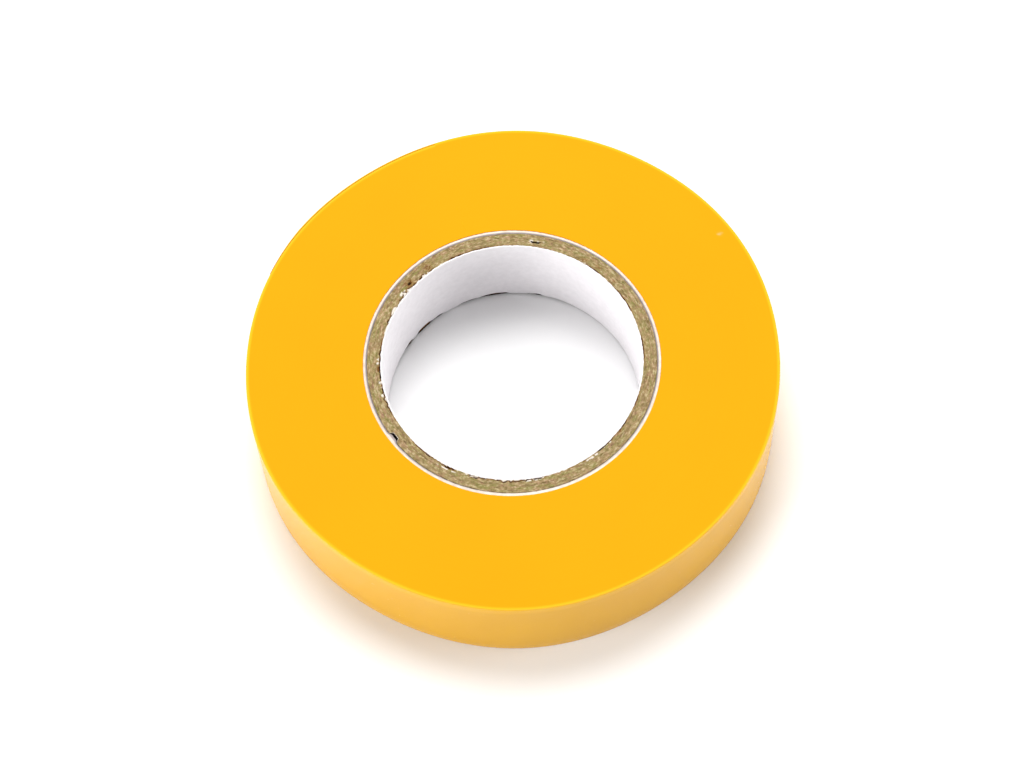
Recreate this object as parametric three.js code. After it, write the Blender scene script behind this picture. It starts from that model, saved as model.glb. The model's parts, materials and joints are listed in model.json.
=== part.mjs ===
// A roll of adhesive tape lying flat, axis up: a wound paper core, the tape wound on it, and the
// tape's free end, which lifts off the roll. Millimetres, +Z up, origin under the middle of the roll
// on the surface it lies on.
import * as THREE from "three";

// Driving dimensions
const TAPE_WIDTH = 10;
const TAPE_THICKNESS = 0.15;
const TAPE_LENGTH = 9800;
const BORE_RADIUS = 12.7;
const LINER_THICKNESS = 0.12; // white paper inside the bore
const BOARD_THICKNESS = 0.66; // each of the two chipboard plies
const WRAP_THICKNESS = 0.38; // white paper round the outside of the core
const CORE_RECESS = 0.1; // the core is this much shorter than the tape at each face
const TAIL_LENGTH = 22.5; // free end of the tape, from the line where it leaves the roll
const TAIL_TIP_AZIMUTH = 155; // degrees from +X, at the back of the roll

// Worked out from them
const CORE_RADIUS = BORE_RADIUS + LINER_THICKNESS + 2 * BOARD_THICKNESS + WRAP_THICKNESS;
const ROLL_RADIUS = Math.sqrt(CORE_RADIUS ** 2 + (TAPE_LENGTH * TAPE_THICKNESS) / Math.PI);

const STEP = 2.5; // degrees between neighbouring corners of every round outline
const FULL_TURN = 360;
const TIP = STEP * Math.round(TAIL_TIP_AZIMUTH / STEP);
const TAIL_SPAN = STEP * Math.round(THREE.MathUtils.radToDeg(TAIL_LENGTH / ROLL_RADIUS) / STEP);
const PEEL_LINE = TIP - TAIL_SPAN;

const TAPE_COLOUR = 0xf9ab0b;
const BOARD_COLOUR = 0xb09d71;
const PAPER_COLOUR = 0xf2eeea;

const tape = new THREE.MeshStandardMaterial({ color: TAPE_COLOUR, roughness: 0.45, metalness: 0 });
const board = new THREE.MeshStandardMaterial({ color: BOARD_COLOUR, roughness: 0.95, metalness: 0 });
const paper = new THREE.MeshStandardMaterial({ color: PAPER_COLOUR, roughness: 0.8, metalness: 0 });

// Points along a round outline whose radius may change with the azimuth, both ends included.
function curve(radiusAt, from, to) {
  const count = Math.round(Math.abs(to - from) / STEP);
  const turn = Math.sign(to - from) * STEP;
  return Array.from({ length: count + 1 }, (_, i) => {
    const azimuth = from + i * turn;
    const angle = THREE.MathUtils.degToRad(azimuth);
    const radius = radiusAt(azimuth);
    return new THREE.Vector2(radius * Math.cos(angle), radius * Math.sin(angle));
  });
}

function circle(radius) {
  return curve(() => radius, 0, FULL_TURN - STEP);
}

// A named solid with the given outline, from bottom to top along the roll's axis.
function upright(name, outline, hole, bottom, top, material) {
  const shape = new THREE.Shape(outline);
  if (hole) shape.holes.push(new THREE.Path(hole));
  const geometry = new THREE.ExtrudeGeometry(shape, { depth: top - bottom, bevelEnabled: false });
  const mesh = new THREE.Mesh(geometry, material);
  mesh.name = name;
  mesh.position.z = bottom;
  return mesh;
}

// The core: four plies, each wrapped tight round the one inside it.
function core() {
  const plies = [
    ["core_liner", LINER_THICKNESS, paper],
    ["core_inner_ply", BOARD_THICKNESS, board],
    ["core_outer_ply", BOARD_THICKNESS, board],
    ["core_wrap", WRAP_THICKNESS, paper],
  ];
  const group = new THREE.Group();
  let inside = BORE_RADIUS;
  for (const [name, thickness, material] of plies) {
    const outside = inside + thickness;
    const top = TAPE_WIDTH - CORE_RECESS;
    group.add(upright(name, circle(outside), circle(inside), CORE_RECESS, top, material));
    inside = outside;
  }
  return group;
}

// The tape's outer surface is a spiral. Just past the tip it is one thickness lower than on the tip,
// and it climbs that thickness in one turn.
function outerSurface(azimuth) {
  const turnsPastTip = (azimuth - (TIP - FULL_TURN)) / FULL_TURN;
  return ROLL_RADIUS + TAPE_THICKNESS * (turnsPastTip - 1);
}

function underOuterTurn(azimuth) {
  return outerSurface(azimuth) - TAPE_THICKNESS;
}

// All the tape that stays on the roll. Its outline goes once round the outer surface to the peel
// line, steps down, and follows the bed that the free end lies on.
function winding() {
  const outline = [
    ...curve(outerSurface, TIP - FULL_TURN, PEEL_LINE),
    ...curve(underOuterTurn, PEEL_LINE, TIP - STEP),
  ];
  return upright("tape_winding", outline, circle(CORE_RADIUS), 0, TAPE_WIDTH, tape);
}

// The free end, flat on its bed.
function tail() {
  const outline = [
    ...curve(outerSurface, PEEL_LINE, TIP),
    ...curve(underOuterTurn, TIP, PEEL_LINE),
  ];
  return upright("tape_tail", outline, null, 0, TAPE_WIDTH, tape);
}

const group = new THREE.Group();
group.add(core(), winding(), tail());

export default group;
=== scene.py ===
import json
import math

import bpy
import numpy as np
from mathutils import Matrix, Vector


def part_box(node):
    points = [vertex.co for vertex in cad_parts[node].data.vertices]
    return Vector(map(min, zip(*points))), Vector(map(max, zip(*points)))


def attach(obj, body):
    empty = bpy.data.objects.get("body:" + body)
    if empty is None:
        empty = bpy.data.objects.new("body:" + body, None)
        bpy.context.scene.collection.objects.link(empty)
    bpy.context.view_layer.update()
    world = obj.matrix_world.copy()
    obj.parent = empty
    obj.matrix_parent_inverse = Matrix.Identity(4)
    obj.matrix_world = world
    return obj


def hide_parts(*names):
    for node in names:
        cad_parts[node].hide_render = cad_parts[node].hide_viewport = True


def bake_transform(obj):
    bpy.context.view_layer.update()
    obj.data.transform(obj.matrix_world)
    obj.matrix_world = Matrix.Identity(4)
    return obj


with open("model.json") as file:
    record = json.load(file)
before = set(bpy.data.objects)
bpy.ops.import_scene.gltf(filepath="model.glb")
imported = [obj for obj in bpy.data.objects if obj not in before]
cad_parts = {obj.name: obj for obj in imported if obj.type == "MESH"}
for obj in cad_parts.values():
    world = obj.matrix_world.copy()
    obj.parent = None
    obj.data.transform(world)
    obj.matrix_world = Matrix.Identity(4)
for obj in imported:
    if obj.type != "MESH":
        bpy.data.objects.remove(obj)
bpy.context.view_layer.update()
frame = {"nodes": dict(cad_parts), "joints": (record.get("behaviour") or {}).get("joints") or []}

MM = 0.001
FULL_TURN = 2 * math.pi


# ---------------------------------------------------------------- sizes from the frame

def points_of(node):
    """The vertices of a CAD node; the roll's axis is the z axis."""
    return [vertex.co for vertex in frame["nodes"][node].data.vertices]


def radii(node):
    return [math.hypot(point.x, point.y) for point in points_of(node)]


LINER_OUT = max(radii("core_liner"))
INNER_PLY_OUT = max(radii("core_inner_ply"))
OUTER_PLY_OUT = max(radii("core_outer_ply"))
CORE_OUT = max(radii("core_wrap"))
ROLL_OUT = max(radii("tape_winding"))
CORE_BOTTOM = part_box("core_liner")[0].z
CORE_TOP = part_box("core_liner")[1].z
TAPE_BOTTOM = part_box("tape_winding")[0].z
TAPE_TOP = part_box("tape_winding")[1].z
PIVOT = Vector(frame["joints"][0]["pos_m"])
PEEL_ANGLE = math.atan2(PIVOT.y, PIVOT.x)
TIP_ANGLE = max(math.atan2(point.y, point.x) for point in points_of("tape_tail"))
TAPE_THICKNESS = 0.15 * MM  # film and adhesive together


# ---------------------------------------------------------------- small helpers

def smoothstep(x):
    x = np.clip(x, 0.0, 1.0)
    return x * x * (3 - 2 * x)


def hump(angle, centre_deg, half_width_deg):
    """1 at the centre azimuth, falling smoothly to 0 at half_width to either side."""
    away = np.abs((angle - math.radians(centre_deg) + math.pi) % FULL_TURN - math.pi)
    return smoothstep(1 - away / math.radians(half_width_deg))


def lattice_noise(angle, across, cells_round, cells_across, seed):
    """Smooth noise from -1 to 1, periodic round the roll; across runs from 0 to 1."""
    values = np.random.default_rng(seed).uniform(-1, 1, (cells_across + 2, cells_round))
    x = (angle / FULL_TURN % 1.0) * cells_round
    y = np.clip(across, 0, 1) * cells_across
    column = np.floor(x).astype(int)
    row = np.floor(y).astype(int)
    fx = smoothstep(x - column)
    fy = smoothstep(y - row)
    left = column % cells_round
    right = (column + 1) % cells_round
    low = values[row, left] * (1 - fx) + values[row, right] * fx
    high = values[row + 1, left] * (1 - fx) + values[row + 1, right] * fx
    return low * (1 - fy) + high * fy


def new_mesh(name, points, faces, materials, slots, sharp_deg=35):
    """A smooth-shaded object from an array of points and a list of faces."""
    mesh = bpy.data.meshes.new(name)
    mesh.from_pydata(points.reshape(-1, 3).tolist(), [], faces)
    for material in materials:
        mesh.materials.append(material)
    mesh.polygons.foreach_set("material_index", np.asarray(slots, dtype=np.int32))
    mesh.polygons.foreach_set("use_smooth", np.ones(len(mesh.polygons), dtype=bool))
    mesh.set_sharp_from_angle(angle=math.radians(sharp_deg))
    mesh.update()
    obj = bpy.data.objects.new(name, mesh)
    bpy.context.scene.collection.objects.link(obj)
    return obj


def from_cylinder(angle, radius, height):
    """Points from cylinder coordinates, as an array of x, y, z."""
    angle, radius, height = np.broadcast_arrays(angle, radius, height)
    return np.stack([radius * np.cos(angle), radius * np.sin(angle), height], axis=-1)


def swept_faces(columns, section, whole_turn=True):
    """Quads of a closed section swept round the axis; anticlockwise sections face out."""
    swept = np.arange(columns if whole_turn else columns - 1)
    column, row = np.meshgrid(swept, np.arange(section), indexing="ij")
    start = column * section
    end = (column + 1) % columns * section
    next_row = (row + 1) % section
    quads = np.stack([start + row, end + row, end + next_row, start + next_row], axis=-1)
    return quads.reshape(-1, 4).tolist()


def add_value(obj, name, values):
    """A number for each point of a mesh, which its material reads by name."""
    attribute = obj.data.attributes.new(name, "FLOAT", "POINT")
    attribute.data.foreach_set("value", np.asarray(values, dtype=np.float32).ravel())


# ---------------------------------------------------------------- materials

def linear(red, green, blue):
    """An sRGB colour from 0 to 255 as the linear colour that shaders take."""
    def channel(value):
        value /= 255
        return value / 12.92 if value <= 0.04045 else ((value + 0.055) / 1.055) ** 2.4
    return (channel(red), channel(green), channel(blue), 1.0)


class Nodes:
    """A short way to write a material's node tree."""

    def __init__(self, name):
        self.material = bpy.data.materials.new(name)
        self.material.use_nodes = True
        self.tree = self.material.node_tree
        self.shader = self.tree.nodes["Principled BSDF"]

    def node(self, kind, **settings):
        made = self.tree.nodes.new(kind)
        for key, value in settings.items():
            setattr(made, key, value)
        return made

    def link(self, source, target):
        self.tree.links.new(source, target)

    def math(self, operation, a, b=None):
        made = self.node("ShaderNodeMath", operation=operation)
        for socket, value in zip(made.inputs, (a, b)):
            if value is None:
                continue
            if isinstance(value, (int, float)):
                socket.default_value = value
            else:
                self.link(value, socket)
        return made.outputs[0]

    def noise(self, vector, scale, detail=3.0, roughness=0.55):
        made = self.node("ShaderNodeTexNoise")
        made.inputs["Scale"].default_value = scale
        made.inputs["Detail"].default_value = detail
        made.inputs["Roughness"].default_value = roughness
        self.link(vector, made.inputs["Vector"])
        return made.outputs["Fac"]

    def ramp(self, factor, *stops):
        """Colours along a factor; each stop is a place from 0 to 1 and a colour."""
        made = self.node("ShaderNodeValToRGB")
        elements = made.color_ramp.elements
        while len(elements) < len(stops):
            elements.new(0.5)
        for element, (place, colour) in zip(elements, stops):
            element.position = place
            element.color = colour
        self.link(factor, made.inputs[0])
        return made.outputs["Color"]

    def mix(self, factor, first, second):
        made = self.node("ShaderNodeMix", data_type="RGBA")
        factor_input, first_input, second_input = (made.inputs[k] for k in (0, 6, 7))
        for socket, value in ((factor_input, factor), (first_input, first), (second_input, second)):
            if isinstance(value, (float, tuple)):
                socket.default_value = value
            else:
                self.link(value, socket)
        return made.outputs[2]

    def attribute(self, name):
        return self.node("ShaderNodeAttribute", attribute_name=name).outputs["Fac"]

    def place(self):
        return self.node("ShaderNodeTexCoord").outputs["Object"]

    def round_the_roll(self, radial, around, upward):
        """Coordinates for grain that runs round the roll, as cells per metre out and up."""
        parts = self.node("ShaderNodeSeparateXYZ")
        self.link(self.place(), parts.inputs[0])
        x, y, z = parts.outputs
        squares = self.math("ADD", self.math("MULTIPLY", x, x), self.math("MULTIPLY", y, y))
        radius = self.math("SQRT", squares)
        cosine = self.math("DIVIDE", x, radius)
        sine = self.math("DIVIDE", y, radius)
        outward = self.math("MULTIPLY", radius, radial)
        joined = self.node("ShaderNodeCombineXYZ")
        self.link(self.math("ADD", outward, self.math("MULTIPLY", z, upward)), joined.inputs[0])
        self.link(self.math("MULTIPLY", cosine, around), joined.inputs[1])
        self.link(self.math("MULTIPLY", sine, around), joined.inputs[2])
        return joined.outputs[0]

    def bump(self, height, distance, strength, previous=None):
        made = self.node("ShaderNodeBump")
        made.inputs["Strength"].default_value = strength
        made.inputs["Distance"].default_value = distance
        self.link(height, made.inputs["Height"])
        if previous is not None:
            self.link(previous, made.inputs["Normal"])
        return made.outputs[0]

    def finish(self, colour, roughness, specular, normal=None):
        self.link(colour, self.shader.inputs["Base Color"])
        if isinstance(roughness, float):
            self.shader.inputs["Roughness"].default_value = roughness
        else:
            self.link(roughness, self.shader.inputs["Roughness"])
        self.shader.inputs["Specular IOR Level"].default_value = specular
        if normal is not None:
            self.link(normal, self.shader.inputs["Normal"])
        return self.material


def tape_side_material():
    """The flat side of the winding: the slit edges of every turn, close together."""
    n = Nodes("tape_side")
    broad = n.noise(n.place(), 60.0, detail=2.0)
    streaks = n.noise(n.round_the_roll(1 / (0.45 * MM), 2.0, 0.0), 1.0, detail=2.0)
    lines = n.noise(n.round_the_roll(1 / (0.16 * MM), 6.0, 0.0), 1.0, detail=2.0)
    colour = n.ramp(broad, (0.3, linear(218, 150, 1)), (0.7, linear(222, 153, 1)))
    colour = n.mix(n.math("MULTIPLY", streaks, 0.10), colour, linear(206, 142, 1))
    # Painted highlight along the rim's rounded edges.
    colour = n.mix(n.math("MULTIPLY", n.attribute("edge_highlight"), 0.6), colour, linear(240, 196, 40))
    colour = n.mix(n.attribute("speck"), colour, linear(222, 176, 112))
    normal = n.bump(lines, 0.008 * MM, 0.5)
    return n.finish(colour, 0.6, 0.06, normal)


def tape_film_material():
    """The smooth backing film of the tape, seen on the rim."""
    n = Nodes("tape_film")
    grain = n.noise(n.place(), 2600.0, detail=3.0)
    waves = n.noise(n.place(), 130.0, detail=2.0)
    colour = n.ramp(waves, (0.3, linear(210, 155, 1)), (0.7, linear(214, 159, 1)))
    # Painted highlight along the rim's rounded edges.
    colour = n.mix(n.math("MULTIPLY", n.attribute("edge_highlight"), 0.6), colour, linear(228, 176, 50))
    roughness = n.math("ADD", n.math("MULTIPLY", grain, 0.10), 0.20)
    normal = n.bump(grain, 0.0008 * MM, 0.5)
    normal = n.bump(waves, 0.02 * MM, 0.4, normal)
    return n.finish(colour, roughness, 0.26, normal)


def adhesive_material():
    """The tacky underside of the tape's free end."""
    n = Nodes("tape_adhesive")
    grain = n.noise(n.place(), 900.0, detail=4.0)
    colour = n.ramp(grain, (0.3, linear(214, 150, 22)), (0.7, linear(224, 164, 40)))
    normal = n.bump(grain, 0.01 * MM, 0.6)
    return n.finish(colour, 0.5, 0.5, normal)


def board_material():
    """Grey-brown chipboard, seen mostly on its cut end, with long fibres round the tube."""
    n = Nodes("chipboard")

    def grain(size, around, detail, roughness):
        cells = 1 / size
        return n.noise(n.round_the_roll(cells, around, cells), 1.0, detail, roughness)

    fibres = grain(0.19 * MM, 30.0, 4.0, 0.7)
    lines = grain(0.22 * MM, 7.0, 2.0, 0.6)
    mottle = grain(0.45 * MM, 22.0, 3.0, 0.6)
    colour = n.ramp(
        mottle,
        (0.34, linear(98, 98, 40)),
        (0.45, linear(138, 126, 78)),
        (0.55, linear(148, 122, 84)),
        (0.66, linear(176, 132, 110)),
    )
    shade = n.ramp(
        fibres,
        (0.37, linear(46, 33, 16)),
        (0.44, linear(120, 104, 64)),
        (0.54, linear(153, 135, 95)),
        (0.63, linear(224, 206, 170)),
    )
    colour = n.mix(0.55, colour, shade)
    tint = n.ramp(
        lines,
        (0.36, linear(118, 118, 52)),
        (0.46, linear(146, 132, 86)),
        (0.55, linear(158, 126, 98)),
        (0.62, linear(92, 66, 38)),
    )
    colour = n.mix(0.32, colour, tint)
    # Darker in the hollows of the cut end; painted shade in the crack by the liner, on the board's
    # foot where the liner has lifted, and inside the openings.
    dark_hollows_and_painted_shade = n.attribute("dark_hollows_and_painted_shade")
    dark_hollow_and_shade_colour = n.ramp(
        dark_hollows_and_painted_shade,
        (0.0, linear(146, 108, 58)),
        (0.5, linear(110, 70, 28)),
        (0.9, linear(27, 18, 11)),
    )
    colour = n.mix(n.math("MINIMUM", n.math("MULTIPLY", dark_hollows_and_painted_shade, 2.0), 1.0), colour, dark_hollow_and_shade_colour)
    colour = n.mix(n.attribute("pale"), colour, linear(213, 204, 192))
    height = n.math("ADD", n.math("MULTIPLY", fibres, 0.7), n.math("MULTIPLY", mottle, 0.3))
    return n.finish(colour, 0.92, 0.2, n.bump(height, 0.06 * MM, 0.9))


def paper_material(name, colour_low, colour_high, relief):
    """White paper; relief is the depth of its fibres."""
    n = Nodes(name)
    fibres = n.noise(n.place(), 1500.0, detail=5.0, roughness=0.6)
    colour = n.ramp(fibres, (0.35, colour_low), (0.65, colour_high))
    colour = n.mix(n.attribute("shaded"), colour, linear(138, 126, 128))
    return n.finish(colour, 0.85, 0.3, n.bump(fibres, relief, 0.7))


def floor_material():
    n = Nodes("studio_floor")
    clouds = n.noise(n.place(), 30.0, detail=2.0)
    colour = n.ramp(clouds, (0.3, linear(240, 240, 240)), (0.7, linear(242, 242, 242)))
    return n.finish(colour, 0.9, 0.1)


SIDE = tape_side_material()
FILM = tape_film_material()
ADHESIVE = adhesive_material()
BOARD = board_material()
WRAP = paper_material("white_wrap_paper", linear(216, 202, 188), linear(236, 224, 211), 0.012 * MM)
LINER = paper_material("white_liner_paper", linear(225, 222, 224), linear(231, 228, 230), 0.003 * MM)


# ---------------------------------------------------------------- the wound tape

# The roll isn't quite round: how many lobes, how far they stand out, and the azimuth of a crest.
LOBES = (
    (1, 0.06 * MM, -10),
    (2, 0.08 * MM, 45),
    (3, 0.04 * MM, 60),
    (4, 0.045 * MM, 0),
    (6, 0.08 * MM, 30),
)
SWELL = 0.13 * MM  # how far the soft winding stands out past its nominal radius
CORNER = 0.12 * MM  # rounding of the rim's edges
CORNER_STEPS = 3
RIM_HEIGHTS = np.linspace(TAPE_BOTTOM, TAPE_TOP, 10)
WINDING_COLUMNS = 720
WINDING_RINGS = 43  # rings of points on each flat side
RING_RELIEF = 0.006 * MM  # how far single turns stand out of the flat sides
CORE_CLEARANCE = 0.02 * MM
PEEL_STEP = 1e-5  # radians to each side of the peel line in which the winding steps down
PRESSED_ARC = math.radians(14)  # the last part of the tape, pressed thin towards its end
PRESSED_SHARE = 0.8  # how much of its thickness the very end has lost
TAIL_COLUMNS = 101
LOW_EDGE_HIGHLIGHT = 0.6  # how strongly the lower and the upper edge of the rim take the painted highlight
HIGH_EDGE_HIGHLIGHT = 1.0
SPECK_RADIUS = 24.9 * MM  # a pale speck on the top face
SPECK_AZIMUTH = 31
SPECK_SIZE = 0.3 * MM
SPECK_SPREAD = 0.6  # degrees


def out_of_round(angle):
    return sum(size * np.cos(count * (angle - math.radians(crest))) for count, size, crest in LOBES)


def tape_surface(angle):
    """Radius of the outermost turn's outside, from one turn before the tip up to the tip."""
    turns_before_tip = (TIP_ANGLE - angle) / FULL_TURN
    return ROLL_OUT + SWELL - TAPE_THICKNESS * turns_before_tip + out_of_round(angle)


def corner(centre_r, centre_z, start_deg):
    """A quarter circle of points for a rounded edge, as (radius, height) pairs."""
    angles = np.radians(start_deg + np.linspace(0, 90, CORNER_STEPS + 1))
    return [(centre_r + CORNER * math.cos(a), centre_z + CORNER * math.sin(a)) for a in angles]


def tape_rim(outside):
    """The rim of a section whose outside is at this radius, upwards, and each point's painted edge
    highlight.
    """
    low = corner(outside - CORNER, TAPE_BOTTOM + CORNER, -90)
    middle = [(outside, z) for z in RIM_HEIGHTS[1:-1]]
    high = corner(outside - CORNER, TAPE_TOP - CORNER, 0)
    edge_highlight = [LOW_EDGE_HIGHLIGHT] * len(low) + [0.0] * len(middle) + [HIGH_EDGE_HIGHLIGHT] * len(high)
    return low + middle + high, edge_highlight


def wound_tape():
    columns = np.linspace(TIP_ANGLE - FULL_TURN, TIP_ANGLE, WINDING_COLUMNS + 1)[:-1]
    columns = np.sort(np.concatenate([columns, [PEEL_ANGLE - PEEL_STEP, PEEL_ANGLE + PEEL_STEP]]))
    surface = tape_surface(columns) - np.where(columns > PEEL_ANGLE, TAPE_THICKNESS, 0.0)
    inside = CORE_OUT + CORE_CLEARANCE
    ring_heights = np.random.default_rng(11).uniform(-1, 1, WINDING_RINGS)

    def side_ring(ring, level, inward):
        """Radius and height of one ring of a flat side, a little inside the level of the face."""
        radius = inside + ring / WINDING_RINGS * (surface - CORNER - inside)
        wave = lattice_noise(columns, 0, 9, 1, 100 + ring)
        relief = RING_RELIEF * np.abs(ring_heights[ring] + 0.5 * wave) * (ring > 0)
        return radius, level + inward * relief

    bottom = [side_ring(ring, TAPE_BOTTOM, 1) for ring in range(WINDING_RINGS)]
    top = [side_ring(ring, TAPE_TOP, -1) for ring in reversed(range(WINDING_RINGS))]
    rim_points, rim_highlight = tape_rim(0.0)
    rim = [(surface + r, np.full_like(surface, z)) for r, z in rim_points]
    rows = bottom + rim + top
    radius = np.stack([r for r, z in rows], axis=1)
    height = np.stack([z for r, z in rows], axis=1)
    edge_highlight = [0.0] * len(bottom) + rim_highlight + [0.0] * len(top)
    slots = [0] * len(bottom) + [1] * (len(rim) - 1) + [0] * (len(top) + 1)
    angle = columns[:, None]
    points = from_cylinder(angle, radius, height)
    faces = swept_faces(len(columns), len(rows))
    obj = new_mesh("wound_tape", points, faces, [SIDE, FILM], slots * len(columns))
    # Painted highlight on the rim's rounded edges.
    add_value(obj, "edge_highlight", np.tile(edge_highlight, len(columns)))
    near_speck = smoothstep(1 - np.abs(radius - SPECK_RADIUS) / SPECK_SIZE)
    near_speck = near_speck * hump(angle, SPECK_AZIMUTH, SPECK_SPREAD)
    add_value(obj, "speck", near_speck * (height > CORE_TOP))
    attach(obj, "roll")
    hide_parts("tape_winding")


def tape_end():
    """The free end, a strip with its adhesive side on the winding."""
    columns = np.linspace(PEEL_ANGLE, TIP_ANGLE, TAIL_COLUMNS)
    below = tape_surface(columns) - TAPE_THICKNESS
    pressed = PRESSED_SHARE * smoothstep(1 - (TIP_ANGLE - columns) / PRESSED_ARC)
    under = [(0.0, z) for z in RIM_HEIGHTS[::-1]]
    rim, rim_highlight = tape_rim(TAPE_THICKNESS)
    offset, height = np.array(under + rim).T
    size = len(offset)
    points = from_cylinder(columns[:, None], below[:, None] + (1 - pressed)[:, None] * offset, height)
    film, adhesive, cut = 0, 1, 2
    slots = [adhesive] * (len(under) - 1) + [cut] + [film] * (len(rim) - 1) + [cut]
    slots = slots * (len(columns) - 1) + [cut, cut]
    last_column = (len(columns) - 1) * size
    faces = swept_faces(len(columns), size, whole_turn=False)
    faces.append(list(range(size)))
    faces.append([last_column + row for row in reversed(range(size))])
    obj = new_mesh("tape_end", points, faces, [FILM, ADHESIVE, SIDE], slots)
    # Painted highlight on the rim's rounded edges.
    add_value(obj, "edge_highlight", np.tile([0.0] * len(under) + rim_highlight, len(columns)))
    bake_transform(obj)
    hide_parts("tape_tail")


# ---------------------------------------------------------------- the core

CORE_COLUMNS = 1440
CORE_ANGLES = np.linspace(-math.pi, math.pi, CORE_COLUMNS, endpoint=False)
ROW_SHARES = (0.0, 0.01, 0.03, 0.06, 0.35, 0.6, 0.75, 0.84, 0.9, 0.94, 0.97, 0.99)  # up a ply's face
WALL = OUTER_PLY_OUT - LINER_OUT  # both plies of board
SKIN = 0.05 * MM  # depth below the cut end that still takes the end's colours
WEAR_DEPTH = 0.35 * MM  # depth below the cut end that its wear bends
BOARD_RELIEF = 0.025 * MM  # roughness of the cut end
CRACK_DEPTH = 0.2 * MM  # of the crack between the board and the liner's torn edge
SPLIT_DEPTH = 1.6 * MM  # how far down the openings in the cut end reach
OPENING_HALF_WIDTH = 3.4  # degrees
SPLIT_AZIMUTH = 77.2  # where the two plies of board have come apart
LIPS_HALF_WIDTH = 5  # degrees of torn, pale edge on both sides of that split's middle
INNER_PLY_LEAN = 0.27 * MM  # how far each ply's facing side leans inwards at the split
OUTER_PLY_LEAN = 0.06 * MM
WRAP_GAP_AZIMUTH = -146.8  # where the wrap has come off the board
BOARD_LEAN = 0.40 * MM  # how far the board and the wrap lean inwards there
WRAP_LEAN = 0.16 * MM
WRAP_EDGE = 0.3 * MM  # depth below the wrap's top edge that its wear bends
WRAP_RELIEF = 0.02 * MM  # roughness of the wrap's top edge
WRAP_SLUMP = 0.10 * MM  # how far the inner part of that edge has sunk
LINER_EDGE = 0.5 * MM  # how far from the liner's top edge and foot its wear reaches
LINER_WAVES = 0.01 * MM  # waviness of the liner's wall
LINER_FRAY = 0.03 * MM  # waviness of its top edge
LINER_LIFT = 0.5 * MM  # how far the liner's foot stands off the floor where it has lifted
FOOT_REACH = 0.6 * MM  # how far up the board bulges towards the bore under the lifted foot, and is painted with shade
FOOT_BULGE = 0.13 * MM

# Stretches of the core: azimuth and half width in degrees, and strength.
FRINGE = ((142, 36, 1.0), (-172, 22, 0.8), (-95, 55, 0.7))  # torn liner reaching over the board
TORN_LINER = ((137, 12, 1.0), (-179, 6, 1.0), (155, 26, 0.4), (-90, 46, 0.3))  # its top edge
LIFTED_FOOT = ((137, 24, 1.0), (90, 42, 0.7), (117, 4, -0.9))  # its foot, off the floor
LIT_WRAP = ((-85, 65, 0.8),)  # the wrap's inner part, less shaded in front

# Worn places on the cut end of the board: azimuth and half width in degrees, middle and half width
# as shares of the board's wall from the bore outwards, and depth in mm.
HOLLOWS = (
    (137.0, 3.2, 0.38, 0.42, 0.24),
    (126.0, 3.0, 0.50, 0.55, 0.15),
    (131.5, 2.0, 0.05, 0.16, 0.24),
    (-179.5, 2.6, 0.14, 0.18, 0.30),
    (-175.0, 1.6, 0.06, 0.16, 0.22),
    (-168.0, 2.0, 0.04, 0.12, 0.16),
    (-120.5, 4.0, 0.14, 0.10, 0.22),
    (-109.5, 3.4, 0.16, 0.10, 0.16),
    (-80.0, 5.0, 0.06, 0.12, 0.20),
    (-60.0, 1.4, 0.08, 0.16, 0.18),
    (-51.0, 4.5, 0.02, 0.10, 0.18),
    (-39.5, 2.6, 0.16, 0.16, 0.10),
    (-17.6, 1.3, 0.45, 0.40, 0.05),
    (4.0, 2.2, 0.22, 0.16, 0.06),
    (19.5, 1.2, 0.92, 0.16, 0.10),
    (38.5, 2.4, 0.34, 0.20, 0.07),
    (47.5, 3.0, 0.38, 0.24, 0.10),
    (54.5, 3.2, 0.26, 0.26, 0.12),
)
# Torn bits of white paper lying on the board, in the same terms, with their height in mm.
FLAKES = (
    (142.4, 2.2, 0.20, 0.22, 0.05),
    (140.6, 1.8, 0.04, 0.16, 0.04),
    (128.8, 2.0, 0.02, 0.16, 0.04),
    (133.5, 1.0, 0.02, 0.12, 0.03),
    (152.0, 18.0, 0.00, 0.08, 0.03),
    (177.5, 2.4, 0.20, 0.10, 0.04),
    (-171.5, 2.2, 0.16, 0.12, 0.03),
    (-166.0, 1.2, 0.20, 0.12, 0.02),
    (-121.0, 6.0, 0.27, 0.06, 0.03),
    (-111.0, 5.0, 0.05, 0.09, 0.03),
    (-84.0, 5.0, 0.16, 0.07, 0.03),
    (-57.0, 6.0, 0.17, 0.09, 0.03),
    (-47.0, 4.0, 0.12, 0.08, 0.03),
    (54.0, 2.0, 0.10, 0.10, 0.02),
)


def near_top(height, depth):
    """1 on the core's top edge, falling smoothly to 0 this far below it."""
    return smoothstep(1 - (CORE_TOP - height) / depth)


def near_foot(height, reach):
    """1 on the core's bottom edge, falling smoothly to 0 this far above it."""
    return smoothstep(1 - (height - CORE_BOTTOM) / reach)


def stretches(places, angle):
    """The strength of a list of stretches at each azimuth."""
    return sum(strength * hump(angle, azimuth, width) for azimuth, width, strength in places)


def opened(angle, azimuth):
    """Where an opening in the cut end gapes, from 0 to 1."""
    return smoothstep(1.5 * hump(angle, azimuth, OPENING_HALF_WIDTH))


def marks(places, angle, share):
    """The height of every mark in a list at each point of the board's end, in mm."""
    total = 0.0
    for azimuth, half_width, middle, half_share, size in places:
        across = smoothstep(1.3 * (1 - np.abs(share - middle) / half_share))
        total = np.maximum(total, size * hump(angle, azimuth, half_width) * across)
    return total


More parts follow.
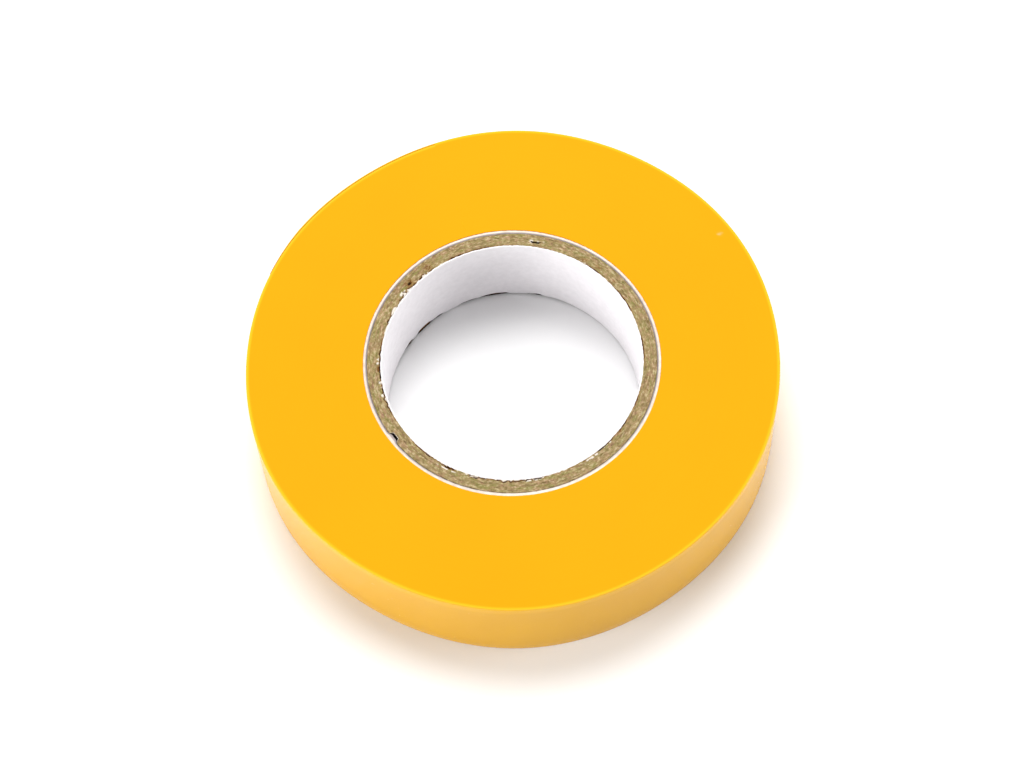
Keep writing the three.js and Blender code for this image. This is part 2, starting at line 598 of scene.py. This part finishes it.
def ply(node, name, material, across, shape):
    """One core ply as a closed ring, with this many points across its cut end.

    shape bends the ring's radii and heights and gives its colour values.
    """
    inner = min(radii(node))
    outer = max(radii(node))
    rows = CORE_BOTTOM + (CORE_TOP - CORE_BOTTOM) * np.array(ROW_SHARES)
    section = [(inner, CORE_BOTTOM), (outer, CORE_BOTTOM)]
    section += [(outer, z) for z in rows[1:]]
    section += [(r, CORE_TOP) for r in np.linspace(outer, inner, across)]
    section += [(inner, z) for z in rows[:0:-1]]
    radius, height = np.array(section).T
    grid = (CORE_COLUMNS, len(section))
    angle = CORE_ANGLES[:, None]
    radius, height, values = shape(angle, np.broadcast_to(radius, grid), np.broadcast_to(height, grid))
    points = from_cylinder(angle, radius, height)
    faces = swept_faces(*grid)
    obj = new_mesh(name, points, faces, [material], [0] * len(faces), 60)
    for key, value in values.items():
        add_value(obj, key, np.broadcast_to(value, grid))
    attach(obj, "roll")
    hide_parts(node)


def torn_fringe(angle):
    """How far the liner's torn edge reaches over the board, as a share of the wall."""
    reach = 0.18 * stretches(FRINGE, angle)
    return np.maximum(reach * (lattice_noise(angle, 0, 340, 1, 61) + 0.35), 0.0)


def edge_crack(angle, share):
    """The crack between the board and the liner's torn edge, from 0 to 1; it is cut in and painted
    with shade.
    """
    cracked = smoothstep(0.55 + lattice_noise(angle, 0, 60, 1, 23))
    cracked = cracked * (0.7 + 0.3 * lattice_noise(angle, 0, 500, 1, 24))
    away = np.abs(share - torn_fringe(angle) - 0.04)
    return smoothstep(1.5 * (1 - away / (0.04 + 0.05 * cracked))) * cracked


def board_end(angle, radius, height, seed):
    """Roughens and wears the board's cut end; returns the new heights and the colour values."""
    share = (radius - LINER_OUT) / WALL
    top = near_top(height, WEAR_DEPTH)
    coarse = lattice_noise(angle, share, 700, 10, seed)
    fine = lattice_noise(angle, share, 1300, 16, seed + 1)
    ragged = np.clip(0.75 + 0.7 * lattice_noise(angle, share, 420, 8, seed + 2), 0, 1.4)
    hollow = marks(HOLLOWS, angle, share) * ragged
    flake = marks(FLAKES, angle, share) * (ragged > 0.72)
    crack = edge_crack(angle, share)
    relief = BOARD_RELIEF * (coarse + 0.6 * fine) - CRACK_DEPTH * crack + (flake - hollow) * MM
    # Darker in the hollows; painted shade in the crack by the liner's torn edge.
    dark_hollows_and_painted_shade = np.clip(3.0 * hollow + 0.95 * crack, 0, 0.9) * top
    fringe = smoothstep((torn_fringe(angle) - share) / 0.03)
    pale = np.maximum(smoothstep(flake / 0.012), fringe) * top
    return height + top * relief, dark_hollows_and_painted_shade * (1 - pale), pale


def lifted_foot(angle):
    """Where the liner has come off the foot of the board, most of all at the back left."""
    uneven = 0.7 + 0.6 * lattice_noise(angle, 0, 90, 1, 53)
    return np.clip(stretches(LIFTED_FOOT, angle) * uneven, 0, 1)


def open_split(angle, height, edge_share):
    """Where the plies have come apart: how far the gap opens, its pale lips and the painted shade
    inside it.
    """
    split = opened(angle, SPLIT_AZIMUTH)
    skin = near_top(height, SKIN)
    opening = split * near_top(height, SPLIT_DEPTH) * smoothstep(2 * edge_share - 1)
    torn = smoothstep(0.5 + 1.2 * lattice_noise(angle, 0, 260, 1, 62))
    torn = torn * smoothstep(2 * hump(angle, SPLIT_AZIMUTH, LIPS_HALF_WIDTH))
    lips = smoothstep((edge_share - 0.75) / 0.2) * torn * skin
    # Painted shade on the split's walls below the cut end.
    inside = 0.8 * (edge_share > 0.99) * smoothstep(4 * split) * (1 - skin)
    return opening, lips, inside


def inner_board_shape(angle, radius, height):
    edge_share = (radius - LINER_OUT) / (INNER_PLY_OUT - LINER_OUT)
    opening, lips, inside = open_split(angle, height, edge_share)
    foot = (edge_share < 0.01) * near_foot(height, FOOT_REACH)
    height, dark_hollows_and_painted_shade, pale = board_end(angle, radius, height, 21)
    radius = radius - INNER_PLY_LEAN * opening - FOOT_BULGE * foot * lifted_foot(angle)
    # Painted shade on the board's foot, seen where the liner has lifted, and inside the split.
    dark_hollows_and_painted_shade = np.maximum(np.maximum(dark_hollows_and_painted_shade, foot) * (1 - lips), inside)
    return radius, height, {"dark_hollows_and_painted_shade": dark_hollows_and_painted_shade, "pale": np.maximum(pale, lips)}


def outer_board_shape(angle, radius, height):
    share = (radius - INNER_PLY_OUT) / (OUTER_PLY_OUT - INNER_PLY_OUT)
    opening, lips, inside = open_split(angle, height, 1 - share)
    gap = opened(angle, WRAP_GAP_AZIMUTH)
    skin = near_top(height, SKIN)
    leaning = gap * near_top(height, SPLIT_DEPTH) * smoothstep((share - 0.3) / 0.7)
    lips = np.maximum(lips, smoothstep((share - 0.8) / 0.15) * gap * skin)
    # Painted shade also on the board's outer wall where the wrap has come off.
    inside = np.maximum(inside, (share > 0.99) * (1 - skin) * smoothstep(4 * gap))
    height, dark_hollows_and_painted_shade, pale = board_end(angle, radius, height, 31)
    radius = radius - OUTER_PLY_LEAN * opening - BOARD_LEAN * leaning
    dark_hollows_and_painted_shade = np.maximum(dark_hollows_and_painted_shade * (1 - lips), inside)
    return radius, height, {"dark_hollows_and_painted_shade": dark_hollows_and_painted_shade, "pale": np.maximum(pale, lips)}


def wrap_shape(angle, radius, height):
    """The wrap's rough top edge, shaded on its inner part, and its lean where it has come loose."""
    share = (radius - OUTER_PLY_OUT) / (CORE_OUT - OUTER_PLY_OUT)
    top = near_top(height, WRAP_EDGE)
    coarse = lattice_noise(angle, share, 260, 2, 41)
    fine = lattice_noise(angle, share, 700, 3, 42)
    slump = smoothstep(1 - share / 0.4)
    height = height + top * (WRAP_RELIEF * (coarse + 0.5 * fine) - WRAP_SLUMP * slump)
    leaning = opened(angle, WRAP_GAP_AZIMUTH) * near_top(height, SPLIT_DEPTH) * (1 - share)
    shaded = 0.85 * smoothstep((0.6 - share) / 0.25) * top * (1 - stretches(LIT_WRAP, angle))
    return radius - WRAP_LEAN * leaning, height, {"shaded": shaded}


def liner_shape(angle, radius, height):
    """The liner's torn top edge, and its foot, which has lifted here and there at the back."""
    top = near_top(height, LINER_EDGE)
    foot = near_foot(height, LINER_EDGE)
    ragged = 0.5 + 0.5 * lattice_noise(angle, 0, 420, 1, 51)
    upward = (height - CORE_BOTTOM) / (CORE_TOP - CORE_BOTTOM)
    waviness = LINER_WAVES * lattice_noise(angle, upward, 24, 4, 52)
    fray = LINER_FRAY * top * lattice_noise(angle, 0, 360, 1, 54)
    lift = LINER_LIFT * foot * lifted_foot(angle)
    tear = (0.03 + 0.12 * stretches(TORN_LINER, angle)) * MM * top * ragged
    return radius + waviness + fray, height + lift - tear, {}


def core():
    ply("core_liner", "liner_paper", LINER, 3, liner_shape)
    ply("core_inner_ply", "inner_board", BOARD, 14, inner_board_shape)
    ply("core_outer_ply", "outer_board", BOARD, 14, outer_board_shape)
    ply("core_wrap", "wrap_paper", WRAP, 7, wrap_shape)


# ---------------------------------------------------------------- studio

FLOOR_HALF = 1.5
LIGHT_DISTANCE = 0.9
CAMERA_LENS = 88.8
SENSOR_WIDTH = 36.0
CAMERA_DISTANCE = 256.0 * MM
CAMERA_ELEVATION = math.radians(63.5)
CAMERA_ROLL = math.radians(-3.0)
CAMERA_TARGET = Vector((-0.11, 2.31, 0.0)) * MM


def floor():
    half = FLOOR_HALF
    corners = np.array([(-half, -half, 0), (half, -half, 0), (half, half, 0), (-half, half, 0)])
    obj = new_mesh("studio_floor", corners, [[0, 1, 2, 3]], [floor_material()], [0])


def aim(obj, place, target, roll=0.0):
    direction = Vector(target) - Vector(place)
    turn = direction.to_track_quat("-Z", "Y").to_matrix().to_4x4()
    obj.matrix_world = Matrix.Translation(place) @ turn @ Matrix.Rotation(roll, 4, "Z")


def area_light(name, azimuth_deg, elevation_deg, size, power):
    """A round soft light aimed at the roll from this azimuth and elevation."""
    data = bpy.data.lights.new(name, "AREA")
    data.shape = "DISK"
    data.size = size
    data.energy = power
    obj = bpy.data.objects.new(name, data)
    bpy.context.scene.collection.objects.link(obj)
    azimuth = math.radians(azimuth_deg)
    elevation = math.radians(elevation_deg)
    flat = math.cos(elevation) * LIGHT_DISTANCE
    rise = math.sin(elevation) * LIGHT_DISTANCE
    aim(obj, (flat * math.cos(azimuth), flat * math.sin(azimuth), rise), (0, 0, 0))


def studio():
    """A strong soft light from behind, two low ones at the sides, and a weak even glow."""
    world = bpy.data.worlds.new("studio")
    world.use_nodes = True
    background = world.node_tree.nodes["Background"]
    background.inputs["Color"].default_value = (1.0, 1.0, 1.0, 1.0)
    background.inputs["Strength"].default_value = 0.38
    bpy.context.scene.world = world
    area_light("key", 95, 63, 0.58, 7.9)
    area_light("left_fill", -155, 17, 0.6, 8.0)
    area_light("right_fill", -2, 17, 0.6, 5.4)
    bpy.context.scene.view_settings.view_transform = "Standard"


def camera():
    data = bpy.data.cameras.new("camera")
    data.sensor_width = SENSOR_WIDTH
    data.lens = CAMERA_LENS
    obj = bpy.data.objects.new("camera", data)
    bpy.context.scene.collection.objects.link(obj)
    backward = Vector((0, -math.cos(CAMERA_ELEVATION), math.sin(CAMERA_ELEVATION)))
    aim(obj, CAMERA_TARGET + backward * CAMERA_DISTANCE, CAMERA_TARGET, CAMERA_ROLL)
    bpy.context.scene.camera = obj


camera()
floor()
studio()
core()
wound_tape()
tape_end()
